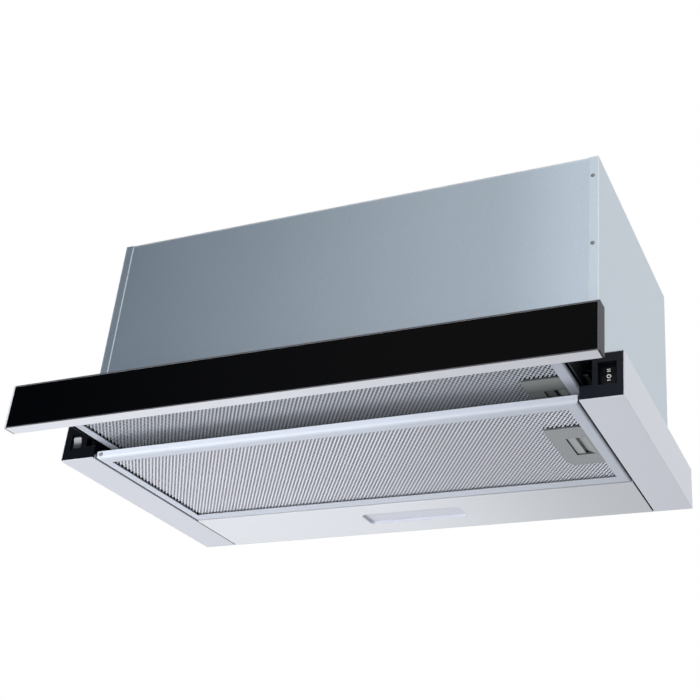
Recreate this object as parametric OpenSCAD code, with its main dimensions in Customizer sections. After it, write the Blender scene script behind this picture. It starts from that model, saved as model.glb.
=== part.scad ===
// Telescopic under-cabinet range hood with a slide-out glass-fronted drawer.
// X runs to the right, Y to the back wall and Z up, with the lowest faces at Z = 0.
// The drawer is drawn partly pulled out, and its lamp rocker is pressed to "off".

/* [Housing] */
// Step from the base tray's side in to the housing's side
housing_step = 24; // [18:0.5:40]
// Height from the underside to the top panel
housing_h = 262; // [255:1:320]
// Thickness of every steel sheet
sheet_t = 0.8; // [0.6:0.1:1]
// Width of the side panels' front flanges
front_flange = 10; // [8:1:14]
// Width of the hidden return flanges
return_flange = 12; // [10:1:16]

/* [Base tray] */
// Width of the base tray
base_w = 600; // [590:1:640]
// Depth of the base tray from its front face to the wall
base_d = 282; // [276:1:310]
// Height of the base tray
base_h = 44.5; // [44:0.5:50]
// Width of the plain strip beside the filters
strip_w = 40.4; // [38:0.1:44]
// Height of the lips that carry the lower filter
lip_h = 4.7; // [4.5:0.1:5]
// Set-back of the housing's front from the base's front
housing_setback = 3; // [2:0.5:8]

/* [Filters] */
// Play of a cassette between the two strips, side to side
filter_play = 3.8; // [3.4:0.1:6]
// Offset of each cassette to the left, so that its latch's end has the wider gap
filter_offset = 0.6; // [0:0.1:0.8]
// Depth of one cassette, front to back
filter_d = 190.7; // [186:0.1:190.7]
// Thickness of one cassette
filter_t = 8; // [8:0.1:8.5]
// Width of the cassette's aluminium border at its two ends
filter_border = 11.5; // [9:0.5:13]
// Width of the border's front strip
front_border = 12; // [9:0.5:16]
// Width of the border's rear strip
rear_border = 15.5; // [9:0.5:18]
// Wall of the cassette's frame
filter_wall = 0.9; // [0.7:0.1:1]
// Front edge of the lower cassette behind the base's front face
filter_front = 4.3; // [4:0.1:6]
// Height of the lower cassette's underside
filter_lift = 0.3; // [0.2:0.05:0.4]

/* [Filter latches] */
// Length of the latch plate, front to back
latch_len = 85; // [75:1:90]
// Width of the latch plate's visible face
latch_w = 38; // [36:1:40]
// Distance from the cassette's front edge to the latch's middle
latch_mid = 93; // [85:1:100]
// Radius of the latch plate's free front corner
latch_front_corner = 4; // [3:1:8]
// Radius of the latch plate's free rear corner
latch_rear_corner = 10; // [5:1:12]
// Length of the finger well, front to back
well_len = 39; // [34:1:44]
// Width of the finger well
well_w = 19; // [18:0.5:20]
// Width of the slider's finger bar
bar_w = 8; // [6:0.5:8.5]
// Draw of the slider
latch_draw = 5; // [4:0.5:5.5]
// Width of the slider's tongue
tongue_w = 12; // [8:1:16]

/* [Drawer] */
// Overhang of the drawer's handle past each side of the base tray
handle_overhang = 2; // [0:0.5:5]
// Height of the handle
handle_h = 46.5; // [44:0.5:50]
// Depth of the handle
handle_d = 14; // [13:0.5:20]
// Front face of the handle from the base's front face, as drawn
drawer_out = 85; // [82:1:100]
// Width of the metal edge round the glass
glass_edge = 1.3; // [1:0.1:3]
// Thickness of the glass strip
glass_t = 4; // [3:0.5:5]
// Length of the side rails behind the handle
rail_len = 261; // [250:1:261]
// Thickness of the side rails
rail_t = 1.5; // [1:0.1:1.6]
// Height of the drawer cassette's underside
drawer_filter_lift = 18; // [17.5:0.1:18.3]
// Length of one nylon glide
glide_len = 38; // [25:1:40]

/* [Switches] */
// Width and height of the speed switch's window
speed_window = [17.4, 22.2]; // [14:0.1:20]
// Width and height of the lamp switch's window
lamp_window = [14.2, 17.6]; // [12:0.1:18]
// Half of the lamp rocker's travel, in degrees
lamp_tilt = 8; // [5:1:8]

/* [Lamp] */
// Width of the lamp lens
lens_w = 119; // [100:1:160]
// Offset of the lamp to the right of the middle
lens_x = 0; // [-20:1:20]
// Depth of the lamp lens, front to back
lens_d = 31; // [25:1:34]
// Corner radius of the lamp lens
lens_corner = 6; // [3:0.5:9]

/* [Blower] */
// Radius of the impeller
impeller_r = 62; // [50:1:62]
// Length of the impeller along its shaft
impeller_len = 96; // [80:1:100]
// Number of blades
blade_count = 30; // [20:1:36]
// Width of the blower casing along the shaft
casing_w = 116; // [114:1:124]
// Wall of the blower casing
casing_wall = 2; // [1.5:0.1:3]
// Height of the shaft above the hood's underside
shaft_h = 140; // [140:1:150]
// Radius of the shaft
shaft_r = 4; // [3:0.5:5]
// Radius of each air inlet
inlet_r = 46; // [40:1:48]
// Radius of the motor's can
motor_r = 36; // [30:1:40]
// Length of the motor's can
motor_len = 46; // [36:1:60]

/* [Outlet collar] */
// Outer radius of the duct collar
collar_r = 59.5; // [58:0.5:62]
// Height of the duct collar above the top panel
collar_h = 35; // [30:1:60]
// Wall of the duct collar
collar_wall = 2.5; // [2:0.1:2.8]

/* [Mounting] */
// Radius of the four screw holes in the top panel
mount_hole_r = 2.75; // [2:0.05:3.5]
// Distance of the screw holes from the housing's sides
mount_edge = 41; // [30:1:80]
// Spacing of the screw holes, front to back
mount_span_y = 170; // [120:5:180]
// Radius of the cable's way through its gland
cable_r = 4; // [3:0.25:4.5]

/* [Hidden] */
$fn = 64;

// Fits and clearances
snug = 0.05;
slack = 0.3;
gap = 1;
through = 1;

// The base's front face, so that the part is centred on Y with the drawer as drawn
front_y = -(base_d - drawer_out) / 2;
wall_y = base_d - sheet_t;
half_base = base_w / 2;
housing_w = base_w - 2 * housing_step;
half_housing = housing_w / 2;
strip_x = half_base - strip_w;
mount_span_x = housing_w - 2 * mount_edge;
top_z = housing_h - sheet_t;

// Cassette
filter_w = 2 * strip_x - filter_play;
half_filter = filter_w / 2;
edge_r = 3;
mesh_t = 0.5;
tab_t = 1.2;
tab_w = 20;
tab_reach = 7;
tab_z = lip_h + slack - filter_lift;
tab_places = [filter_d * 0.22, filter_d * 0.78];
tongue_t = 1.4;
tongue_reach = 6;
rivet_r = 2.2;
rivet_h = 0.9;
filter_rivet_r = 2.6;

// Latch
latch_x = half_filter - filter_border - latch_w + 1;
latch_skin = 0.8;
latch_proud = 0.3;
well_x = latch_x + 15;
well_end = well_x + well_w;
bar_x = well_x + 0.7;
cavity_x = well_x - latch_draw - 0.5;
cavity_top = tab_z + tongue_t + slack;
latch_roof = filter_t - filter_wall;
spring_r = 1.3;
spring_wire = 0.25;
spring_z = 3.9;
spring_hole_r = 1.65;
spring_end = bar_x + 5;

// Lamp
lens_mid = filter_front + filter_d + 41;

// Drawer
handle_w = base_w + 2 * handle_overhang;
half_handle = handle_w / 2;
handle_lift = 0.4;
cap_t = 2;
profile_t = 1.2;
rail_x = strip_x + 0.4;
rail_bottom = drawer_filter_lift + 0.3;
rail_top = 37.5;
drawer_filter_front = handle_d + 8;
foot_t = 1.5;
window_gap = 0.5;
rear_bar_d = 12;
rear_bar_z = 25;
rear_bar_t = 1.5;

// Runners
runner_x = rail_x + 2.4;
runner_out = rail_x + 10.6;
runner_t = 1.2;
runner_z = 25;
runner_h = 12;
runner_front = 16;
runner_len = 242;
runner_tip = 3;
runner_tip_w = 4;
bracket_len = 30;
bracket_y = [base_d * 0.14, base_d * 0.71];

// Covers and switches
cover_x = strip_x;
cover_t = 2.5;
notch_x = runner_out + 0.5;
notch_z = [13.7, 38.3];
speed_x = half_base - 15.4;
speed_z = 24;
speed_face = 5.4;
lamp_x = half_base - 15.6;
lamp_z = 20.5;
lamp_face = 0.8;
rocker_inset = 3;
rocker_corner = 1.5;
rocker_depth = 5.4;
pivot_r = 1.5;
pivot_pin = 0.9;
body_depth = 18;
switch_rim = 1.2;
switch_flange = 1.5;
pocket_side = 2;
pocket_end = 1.5;
pocket_back = 5;
terminal = [4.8, 6, 0.8];

// Blower
shaft_y = 95;
scroll_in = impeller_r + 8;
scroll_out = impeller_r + 38;
half_casing = casing_w / 2;
outlet_y = [shaft_y, shaft_y + scroll_out];
collar_y = (outlet_y[0] + outlet_y[1]) / 2;
collar_z = housing_h;
duct_r = collar_r - collar_wall;
casing_flange = 12;
motor_x = half_casing + 10;
hub_r = 10;
disc_t = 3;
ring_w = 5;

// Flaps
flap_gap = 3;
flap_z = collar_z + 9;
flap_r = duct_r - 2;
flap_t = 1.6;
flap_pin_r = 1.5;
flap_pin_reach = 1.2;
seat_ledge = 4;
seat_r = duct_r - seat_ledge;
seat_bar = 5;
collar_foot = 2.5;

// Snap switch behind the drawer
snap_size = [20, 15, 10];
snap_x = strip_x - 54;
snap_z = 26;
ear_t = 2.5;
ear_reach = 2;
lever_pin_r = 0.6;

// Electrics on the top panel
gland_at = [half_housing - 56, base_d - 47];
gland_r = 8;
box_size = [70, 46, 30];
capacitor_from_wall = 40;

// ---------- helpers ----------

module block(lo, hi) {
    translate(lo) cube(hi - lo);
}

// Places a shape drawn from the base's front face
module at_base() {
    translate([0, front_y, 0]) children();
}

// Places a shape drawn from the handle's front face
module at_drawer() {
    translate([0, front_y - drawer_out, 0]) children();
}

// Places a shape drawn from the cassette's front lower edge
module at_lower_filter() {
    at_base() translate([-filter_offset, filter_front, filter_lift]) children();
}

module at_drawer_filter() {
    at_drawer() translate([-filter_offset, drawer_filter_front, drawer_filter_lift]) children();
}

// Draws a right-hand shape on the left when side is -1
module on_side(side) {
    if (side > 0) children();
    else mirror([1, 0, 0]) children();
}

module rod_x(r, x0, x1, y, z) {
    translate([x0, y, z]) rotate([0, 90, 0]) cylinder(r = r, h = x1 - x0);
}

// A rectangle with round corners, centred, made of exact arcs
module round_rect(w, d, r) {
    square([w - 2 * r, d], center = true);
    square([w, d - 2 * r], center = true);
    for (sx = [-1, 1], sy = [-1, 1])
        translate([sx * (w / 2 - r), sy * (d / 2 - r)]) circle(r);
}

// A round-headed screw or rivet whose head lies on the plane z = 0 and points up
module dome_head(r, h) {
    intersection() {
        translate([0, 0, h - r * 1.4]) sphere(r * 1.4);
        cylinder(r = r, h = h);
    }
}

// A coil of round wire along +Z with its turns worked out as one tube
module coil(r, wire, length, turns) {
    steps = 14;
    sides = 6;
    rings = turns * steps;
    points = [
        for (i = [0:rings], k = [0:sides - 1])
            let (a = 360 * i / steps, b = 360 * k / sides, q = r + wire * cos(b))
                [q * cos(a), q * sin(a), wire + (length - 2 * wire) * i / rings + wire * sin(b)]
    ];
    walls = [
        for (i = [0:rings - 1], k = [0:sides - 1])
            let (a = i * sides + k, b = i * sides + (k + 1) % sides) [a, b, b + sides, a + sides]
    ];
    first = [for (k = [0:sides - 1]) sides - 1 - k];
    last = [for (k = [0:sides - 1]) rings * sides + k];
    polyhedron(points, concat(walls, [first, last]), convexity = 10);
}

// ---------- housing ----------

module side_panel(side) {
    inner = half_housing - sheet_t;
    color("lightsteelblue") at_base() on_side(side) {
        block([inner, housing_setback, base_h], [half_housing, wall_y, housing_h]);
        block([half_housing - front_flange, housing_setback, base_h],
              [half_housing, housing_setback + sheet_t, housing_h]);
        block([half_housing - return_flange, wall_y - sheet_t, base_h],
              [half_housing, wall_y, top_z - sheet_t]);
        block([half_housing - return_flange, housing_setback + 2 * sheet_t, top_z - sheet_t],
              [half_housing, wall_y, top_z]);
    }
}

module left_side_panel() {
    side_panel(-1);
}

module right_side_panel() {
    side_panel(1);
}

module front_panel() {
    inner = half_housing - sheet_t;
    clear = half_housing - return_flange - gap;
    sheet_y = housing_setback + sheet_t;
    color("lightsteelblue") at_base() {
        block([-inner, sheet_y, base_h], [inner, sheet_y + sheet_t, top_z]);
        block([-clear, sheet_y, top_z - sheet_t], [clear, sheet_y + return_flange, top_z]);
        block([-clear, sheet_y, base_h], [clear, sheet_y + return_flange, base_h + sheet_t]);
    }
}

module back_panel() {
    color("lightsteelblue") at_base() {
        block([-half_housing, wall_y, 0], [half_housing, base_d, housing_h]);
        block([-half_base, wall_y, 0], [half_base, base_d, base_h]);
    }
}

module top_panel() {
    inner = half_housing - sheet_t;
    color("lightsteelblue") at_base() difference() {
        block([-inner, housing_setback + sheet_t, top_z], [inner, wall_y, housing_h]);
        translate([0, collar_y, top_z - through]) cylinder(r = duct_r, h = sheet_t + 2 * through);
        translate([0, base_d / 2, top_z - through])
            for (sx = [-1, 1], sy = [-1, 1])
                translate([sx * mount_span_x / 2, sy * mount_span_y / 2, 0])
                    cylinder(r = mount_hole_r, h = sheet_t + 2 * through);
        translate([gland_at[0], gland_at[1], top_z - through])
            cylinder(r = gland_r, h = sheet_t + 2 * through);
    }
}

// Pop rivets: two on each front flange, two on each rear corner, four on the lamp panel's rear flange
module housing_screws() {
    flange_x = half_housing - front_flange / 2 - sheet_t;
    corner_x = half_housing - return_flange / 2 - sheet_t;
    right_z = [housing_h - 22, housing_h - 99];
    left_z = [housing_h - 36, housing_h - 115];
    color("gainsboro") at_base() {
        for (z = right_z)
            translate([flange_x, housing_setback, z]) rotate([90, 0, 0]) dome_head(rivet_r, rivet_h);
        for (z = left_z)
            translate([-flange_x, housing_setback, z]) rotate([90, 0, 0]) dome_head(rivet_r, rivet_h);
        for (sx = [-1, 1], y = [base_d * 0.21, base_d * 0.78])
            translate([sx * corner_x, y, top_z - sheet_t]) mirror([0, 0, 1]) dome_head(rivet_r, rivet_h);
        for (k = [-0.78, -0.35, 0.35, 0.62])
            translate([k * half_filter, wall_y - sheet_t, return_flange / 2 + sheet_t])
                rotate([90, 0, 0]) dome_head(rivet_r, rivet_h);
    }
}

// ---------- base tray ----------

module base_channel(side) {
    color("gainsboro") at_base() on_side(side) {
        block([strip_x, 0, 0], [half_base, wall_y, sheet_t]);
        block([half_base - sheet_t, 0, 0], [half_base, wall_y, base_h]);
        block([half_housing - sheet_t, 0, base_h - sheet_t], [half_base, wall_y, base_h]);
        block([strip_x, cover_t, 0], [strip_x + sheet_t, wall_y, lip_h]);
    }
}

module left_base_channel() {
    base_channel(-1);
}

module right_base_channel() {
    base_channel(1);
}

// Rear strip of the underside, with the lamp's opening
module lamp_panel() {
    front = filter_front + filter_d + 0.5;
    color("gainsboro") at_base() difference() {
        union() {
            block([-half_filter, front, 0], [half_filter, wall_y, sheet_t]);
            block([-half_filter, wall_y - sheet_t, 0], [half_filter, wall_y, return_flange + sheet_t]);
            block([-half_filter, front, 0], [half_filter, front + sheet_t, return_flange]);
        }
        translate([lens_x, lens_mid, -through])
            linear_extrude(sheet_t + 2 * through) round_rect(lens_w, lens_d, lens_corner);
    }
}

// A clear dish that drops into the panel's opening and hooks over its edge
module lamp_lens() {
    depth = 4;
    wall = 1.2;
    hook = 2.5;
    color("white") at_base() translate([lens_x, lens_mid, 0]) difference() {
        union() {
            translate([0, 0, 0.2]) linear_extrude(depth - 0.2)
                round_rect(lens_w - 2 * snug, lens_d - 2 * snug, lens_corner);
            translate([0, 0, sheet_t]) linear_extrude(1.2)
                round_rect(lens_w + 2 * hook, lens_d + 2 * hook, lens_corner + hook);
        }
        translate([0, 0, 0.2 - through]) linear_extrude(depth - wall - 0.2 + through)
            round_rect(lens_w - 2 * wall, lens_d - 2 * wall, lens_corner - wall);
    }
}

// Metal tray with the lamp's board, on top of the lens
module lamp_module() {
    ends = 15;
    sides = 4;
    board_t = 1.6;
    tray = [lens_w + 2 * ends, lens_d + 2 * sides, 14];
    wall = 1;
    color("whitesmoke") at_base() translate([lens_x, lens_mid, sheet_t]) {
        difference() {
            translate([-tray[0] / 2, -tray[1] / 2, 0]) cube(tray);
            translate([-tray[0] / 2 + wall, -tray[1] / 2 + wall, -through])
                cube([tray[0] - 2 * wall, tray[1] - 2 * wall, tray[2] - wall + through]);
        }
        translate([-lens_w / 2 + 6, -5, tray[2] - wall - board_t]) cube([lens_w - 12, 10, board_t]);
    }
}

// A window for a switch, with the sleeve that the switch sits against
module switch_window(x, z, size, depth) {
    translate([x - size[0] / 2, -through, z - size[1] / 2]) cube([size[0], depth + 2 * through, size[1]]);
}

module switch_sleeve(x, z, size, depth) {
    translate([x - size[0] / 2 - switch_rim, 0, z - size[1] / 2 - switch_rim])
        cube([size[0] + 2 * switch_rim, depth, size[1] + 2 * switch_rim]);
}

module front_cover(side, x, z, size, depth) {
    inner = half_base - sheet_t;
    skirt = 14;
    skirt_t = 1.5;
    color("#23262d") at_base() on_side(side) difference() {
        union() {
            block([cover_x, 0, sheet_t], [inner, cover_t, base_h - sheet_t]);
            block([inner - skirt_t, 0, sheet_t], [inner, skirt, base_h - sheet_t]);
            block([cover_x + 2 * sheet_t, 0, sheet_t], [inner, skirt, sheet_t + skirt_t]);
            switch_sleeve(x, z, size, depth);
        }
        block([cover_x - through, -through, notch_z[0]], [notch_x, skirt + through, notch_z[1]]);
        switch_window(x, z, size, depth);
    }
}

module left_front_cover() {
    front_cover(-1, lamp_x, lamp_z, lamp_window, cover_t + 2);
}

module right_front_cover() {
    front_cover(1, speed_x, speed_z, speed_window, cover_t + 7);
}

// Switch body behind its window: a flange against the sleeve, a shell and the rocker's two bearings
module switch_body(x, z, size, seat, face) {
    w = size[0] - 2 * slack;
    h = size[1] - 2 * slack;
    pocket_w = size[0] - 2 * pocket_side;
    pocket_h = size[1] - 2 * pocket_end;
    pivot_y = face + rocker_depth;
    back = pivot_y + body_depth / 2;
    difference() {
        union() {
            translate([x - size[0] / 2 - switch_rim, seat, z - size[1] / 2 - switch_rim])
                cube([size[0] + 2 * switch_rim, switch_flange, size[1] + 2 * switch_rim]);
            translate([x - w / 2, face + 1, z - h / 2]) cube([w, back - face - 1, h]);
        }
        translate([x - pocket_w / 2, face, z - pocket_h / 2])
            cube([pocket_w, pivot_y - face + pocket_back, pocket_h]);
        rod_x(pivot_r + snug, x - pocket_w / 2 - pivot_pin - snug, x + pocket_w / 2 + pivot_pin + snug,
              pivot_y, z);
    }
    for (dz = [-h / 4, 0, h / 4])
        translate([x - terminal[0] / 2, back, z + dz - terminal[2] / 2]) cube(terminal);
}

// Rocker that turns on two pins; its front is a shallow hollow
module rocker(x, z, size, face, tilt) {
    half = size[1] / 2 - rocker_inset;
    w = size[0] - 2 * pocket_side - 2 * slack;
    outline = [
        [-rocker_depth, half], [-rocker_depth + 1, 0], [-rocker_depth, -half],
        [-1.4, -half], [2.2, -3.4], [2.2, 3.4], [-1.4, half]
    ];
    translate([x, face + rocker_depth, z]) rotate([tilt, 0, 0]) {
        intersection() {
            rotate([90, 0, 90]) translate([0, 0, -w / 2]) linear_extrude(w) polygon(outline);
            translate([0, rocker_depth, 0]) rotate([90, 0, 0])
                linear_extrude(2 * rocker_depth + through) round_rect(w, 2 * half, rocker_corner);
        }
        rod_x(pivot_r, -w / 2 - slack - pivot_pin, w / 2 + slack + pivot_pin, 0, 0);
    }
}

module speed_switch_body() {
    color("#16181c") at_base() switch_body(speed_x, speed_z, speed_window, cover_t + 7, speed_face);
}

module speed_rocker() {
    color("#1c1e22") at_base() rocker(speed_x, speed_z, speed_window, speed_face, 0);
}

module lamp_switch_body() {
    color("#16181c") at_base() on_side(-1)
        switch_body(lamp_x, lamp_z, lamp_window, cover_t + 2, lamp_face);
}

module lamp_rocker() {
    color("#8c9096") at_base() on_side(-1) rocker(lamp_x, lamp_z, lamp_window, lamp_face, lamp_tilt);
}

// ---------- drawer runners ----------

// Channel open towards the rail; the inner part of its lower flange reaches the front as a tongue
module runner(side) {
    color("silver") at_base() on_side(side) translate([0, 0, runner_z]) {
        difference() {
            block([runner_x, runner_front, 0], [runner_out, runner_front + runner_len, runner_h]);
            block([runner_x - through, runner_front - through, runner_t],
                  [runner_out - runner_t, runner_front + runner_len + through, runner_h - runner_t]);
        }
        block([runner_x, runner_tip, 0], [runner_x + runner_tip_w, runner_front + 1, runner_t]);
    }
}

module left_runner() {
    runner(-1);
}

module right_runner() {
    runner(1);
}

module runner_brackets() {
    outer = half_base - sheet_t;
    top = runner_z + runner_h;
    color("silver") at_base()
        for (side = [-1, 1], y = bracket_y)
            on_side(side) translate([0, y, 0]) {
                block([runner_out, 0, runner_z], [runner_out + runner_t, bracket_len, top]);
                block([runner_out, 0, top - runner_t], [outer, bracket_len, top]);
                block([outer - runner_t, 0, runner_z], [outer, bracket_len, top]);
            }
}

// ---------- blower ----------

// Spiral round the impeller with a straight throat up to the outlet; inset shrinks it all round
module scroll_outline(inset) {
    steps = 36;
    spiral = [
        for (i = [0:steps])
            let (a = 90 + 270 * i / steps, r = scroll_in + (scroll_out - scroll_in) * i / steps - inset)
                [shaft_y + r * cos(a), shaft_h + r * sin(a)]
    ];
    throat = [
        [outlet_y[1] - inset, top_z],
        [outlet_y[0] + inset, top_z],
        [outlet_y[0] + inset, shaft_h + scroll_in - inset]
    ];
    polygon(concat(spiral, throat));
}

// One half of the casing, split on the impeller's middle plane
module casing_half(side) {
    color("#5a6068") at_base() on_side(side) difference() {
        union() {
            rotate([90, 0, 90]) linear_extrude(half_casing) scroll_outline(0);
            rod_x(inlet_r + casing_wall, 0, half_casing + 4, shaft_y, shaft_h);
            block([0, outlet_y[0] - casing_flange, top_z - casing_wall],
                  [half_casing + casing_flange, outlet_y[1] + casing_flange, top_z]);
        }
        rotate([90, 0, 90]) translate([0, 0, -through])
            linear_extrude(half_casing - casing_wall + through) scroll_outline(casing_wall);
        rod_x(inlet_r, 0, half_casing + 4 + through, shaft_y, shaft_h);
        block([-through, outlet_y[0] + casing_wall, top_z - 2 * casing_wall],
              [half_casing - casing_wall, outlet_y[1] - casing_wall, top_z + through]);
    }
}

module blower_casing_left() {
    casing_half(-1);
}

module blower_casing_right() {
    casing_half(1);
}

// Double-inlet drum: middle disc, two end rings and the blades between them
module impeller() {
    blade = [1.4, 11];
    sunk = 0.8;
    color("#c8ccd0") at_base() translate([0, shaft_y, shaft_h]) rotate([0, 90, 0]) {
        difference() {
            union() {
                translate([0, 0, -disc_t / 2]) cylinder(r = impeller_r - 1, h = disc_t);
                translate([0, 0, -14]) cylinder(r = hub_r, h = 28);
            }
            translate([0, 0, -15]) cylinder(r = shaft_r, h = 30);
        }
        for (z = [-impeller_len / 2, impeller_len / 2 - 2])
            translate([0, 0, z]) difference() {
                cylinder(r = impeller_r, h = 2);
                translate([0, 0, -through]) cylinder(r = impeller_r - ring_w, h = 2 + 2 * through);
            }
        for (i = [0:blade_count - 1])
            rotate(360 * i / blade_count) translate([impeller_r - 6.2, 0, sunk - impeller_len / 2])
                rotate(35) translate([-blade[1] / 2, -blade[0] / 2, 0])
                    cube([blade[1], blade[0], impeller_len - 2 * sunk]);
    }
}

module impeller_shaft() {
    color("silver") at_base() rod_x(shaft_r, -20, motor_x + motor_len - 8, shaft_y, shaft_h);
}

module motor() {
    color("#9aa0a6") at_base() difference() {
        union() {
            rod_x(motor_r, motor_x, motor_x + motor_len, shaft_y, shaft_h);
            rod_x(hub_r, motor_x - 5, motor_x + motor_len + 5, shaft_y, shaft_h);
            rod_x(motor_r + 3, motor_x + motor_len / 2 - 8, motor_x + motor_len / 2 + 8, shaft_y, shaft_h);
        }
        rod_x(shaft_r + snug, motor_x - 6, motor_x + motor_len - 8 + slack, shaft_y, shaft_h);
    }
}

// Band round the motor and three arms to the casing's side wall
module motor_bracket() {
    band = motor_r + 3;
    arm = [3, 12];
    mid = motor_x + motor_len / 2;
    color("silver") at_base() {
        difference() {
            rod_x(band + 2, mid - 6, mid + 6, shaft_y, shaft_h);
            rod_x(band, mid - 7, mid + 7, shaft_y, shaft_h);
        }
        translate([0, shaft_y, shaft_h]) for (a = [90, 210, 330]) rotate([a, 0, 0]) {
            block([mid - 6, band + 1, -arm[1] / 2], [mid + 6, inlet_r + 16, arm[1] / 2]);
            block([half_casing, inlet_r + 16 - arm[0], -arm[1] / 2], [mid + 6, inlet_r + 16, arm[1] / 2]);
        }
    }
}

module run_capacitor() {
    can_r = 15;
    can_h = 44;
    stud_r = 5;
    stud_h = 2;
    x = half_casing + casing_flange + can_r + 5;
    color("whitesmoke") at_base() translate([x, wall_y - capacitor_from_wall, top_z]) {
        translate([0, 0, -stud_h - can_h]) cylinder(r = can_r, h = can_h);
        translate([0, 0, -stud_h - 1]) cylinder(r = stud_r, h = stud_h + 1);
    }
}

module terminal_box() {
    wall = 2;
    lo = [gland_at[0] - box_size[0] / 2, gland_at[1] - box_size[1] / 2, top_z - box_size[2]];
    color("#3a3d42") at_base() translate(lo) difference() {
        cube(box_size);
        translate([wall, wall, wall])
            cube([box_size[0] - 2 * wall, box_size[1] - 2 * wall, box_size[2]]);
    }
}

module cable_gland() {
    nut = 5;
    inner_nut = 4;
    neck = 9;
    color("#23262d") at_base() translate([gland_at[0], gland_at[1], 0]) difference() {
        union() {
            translate([0, 0, top_z - inner_nut]) cylinder(r = gland_r - snug, h = inner_nut + sheet_t);
            translate([0, 0, top_z - inner_nut]) cylinder(r = gland_r + 3, h = inner_nut, $fn = 6);
            translate([0, 0, housing_h]) cylinder(r = gland_r + 3, h = nut, $fn = 6);
            translate([0, 0, housing_h + nut]) cylinder(r = gland_r, h = neck);
        }
        translate([0, 0, top_z - inner_nut - through])
            cylinder(r = cable_r, h = inner_nut + sheet_t + nut + neck + 2 * through);
    }
}

// ---------- outlet ----------

// Square foot on the top panel
module outlet_plate() {
    base_half = collar_r + 13;
    color("#2b2e33") at_base() translate([0, collar_y, collar_z]) difference() {
        translate([-base_half, -base_half, 0]) cube([2 * base_half, 2 * base_half, collar_foot]);
        translate([0, 0, -through]) cylinder(r = seat_r, h = collar_foot + 2 * through);
    }
}

// Duct collar, with the bearings of the flaps' pins in its wall
module outlet_collar() {
    color("#2b2e33") at_base() translate([0, collar_y, 0]) difference() {
        translate([0, 0, collar_z + collar_foot]) cylinder(r = collar_r, h = collar_h - collar_foot);
        translate([0, 0, collar_z]) cylinder(r = duct_r, h = collar_h + through);
        for (sy = [-1, 1])
            rod_x(flap_pin_r + snug, -duct_r - flap_pin_reach - slack, duct_r + flap_pin_reach + slack,
                  sy * flap_gap, flap_z);
    }
}

// Ring inside the collar and a bar across it, on which the closed flaps lie
module flap_seat() {
    low = collar_z + collar_foot;
    high = flap_z - flap_t - slack;
    color("#2b2e33") at_base() translate([0, collar_y, 0]) {
        difference() {
            translate([0, 0, low]) cylinder(r = duct_r, h = high - low);
            translate([0, 0, low - through]) cylinder(r = seat_r, h = high - low + 2 * through);
        }
        intersection() {
            translate([0, 0, low]) cylinder(r = duct_r, h = high - low);
            block([-duct_r, -seat_bar / 2, low], [duct_r, seat_bar / 2, high]);
        }
    }
}

// Half-disc flap that lies on the seat and swings up about its straight edge
module flap(side) {
    edge = flap_gap;
    color("#d6d8da") at_base() translate([0, collar_y, flap_z]) {
        intersection() {
            translate([0, 0, -flap_t]) cylinder(r = flap_r, h = flap_t);
            translate([-duct_r, side > 0 ? edge : -duct_r, -flap_t])
                cube([2 * duct_r, duct_r - edge, flap_t]);
        }
        rod_x(flap_pin_r, -duct_r - flap_pin_reach, duct_r + flap_pin_reach, side * flap_gap, 0);
    }
}

module front_flap() {
    flap(-1);
}

module rear_flap() {
    flap(1);
}

module collar_screws() {
    color("silver") at_base() for (sx = [-1, 1], sy = [-1, 1])
        translate([sx * (collar_r + 6), collar_y + sy * (collar_r + 6), collar_z + collar_foot])
            dome_head(3.6, 2);
}

// ---------- drawer switch ----------

// Snap switch on the back panel's inner face; the drawer's rear bar works its lever
module drawer_switch() {
    y = wall_y - snap_size[1];
    color("#2b2e33") at_base() translate([snap_x, 0, snap_z]) {
        block([0, y, 0], [snap_size[0], wall_y, snap_size[2]]);
        for (z = [0, snap_size[2] - ear_t]) difference() {
            block([snap_size[0] - 2 * ear_reach, y - 2 * ear_reach, z], [snap_size[0], y, z + ear_t]);
            translate([snap_size[0] - ear_reach, y - ear_reach, z - through])
                cylinder(r = lever_pin_r + snug, h = ear_t + 2 * through);
        }
    }
}

// Bent strip on its pin, between the switch's two ears
module switch_lever() {
    strip_t = 0.6;
    hub = 1.3;
    front = 3.2;
    low = ear_t + slack;
    high = snap_size[2] - ear_t - slack;
    color("silver") at_base()
        translate([snap_x + snap_size[0] - ear_reach, wall_y - snap_size[1] - ear_reach, snap_z]) {
            cylinder(r = lever_pin_r, h = snap_size[2]);
            translate([0, 0, low]) cylinder(r = hub, h = high - low);
            block([-hub, -front, low], [hub, 0, high]);
            block([-snap_size[0], -front, low], [hub, strip_t - front, high]);
        }
}

// ---------- grease filter cassettes ----------

// Flat box whose lower outer edges are rounded all round
module cassette_block() {
    module profile(w) {
        translate([-w / 2, edge_r]) square([w, filter_t - edge_r]);
        translate([-w / 2 + edge_r, 0]) square([w - 2 * edge_r, filter_t]);
        for (s = [-1, 1]) translate([s * (w / 2 - edge_r), edge_r]) circle(edge_r);
    }
    intersection() {
        translate([0, filter_d, 0]) rotate([90, 0, 0]) linear_extrude(filter_d) profile(filter_w);
        translate([-half_filter, filter_d / 2, 0]) rotate([90, 0, 90])
            linear_extrude(filter_w) profile(filter_d);
    }
}

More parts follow.
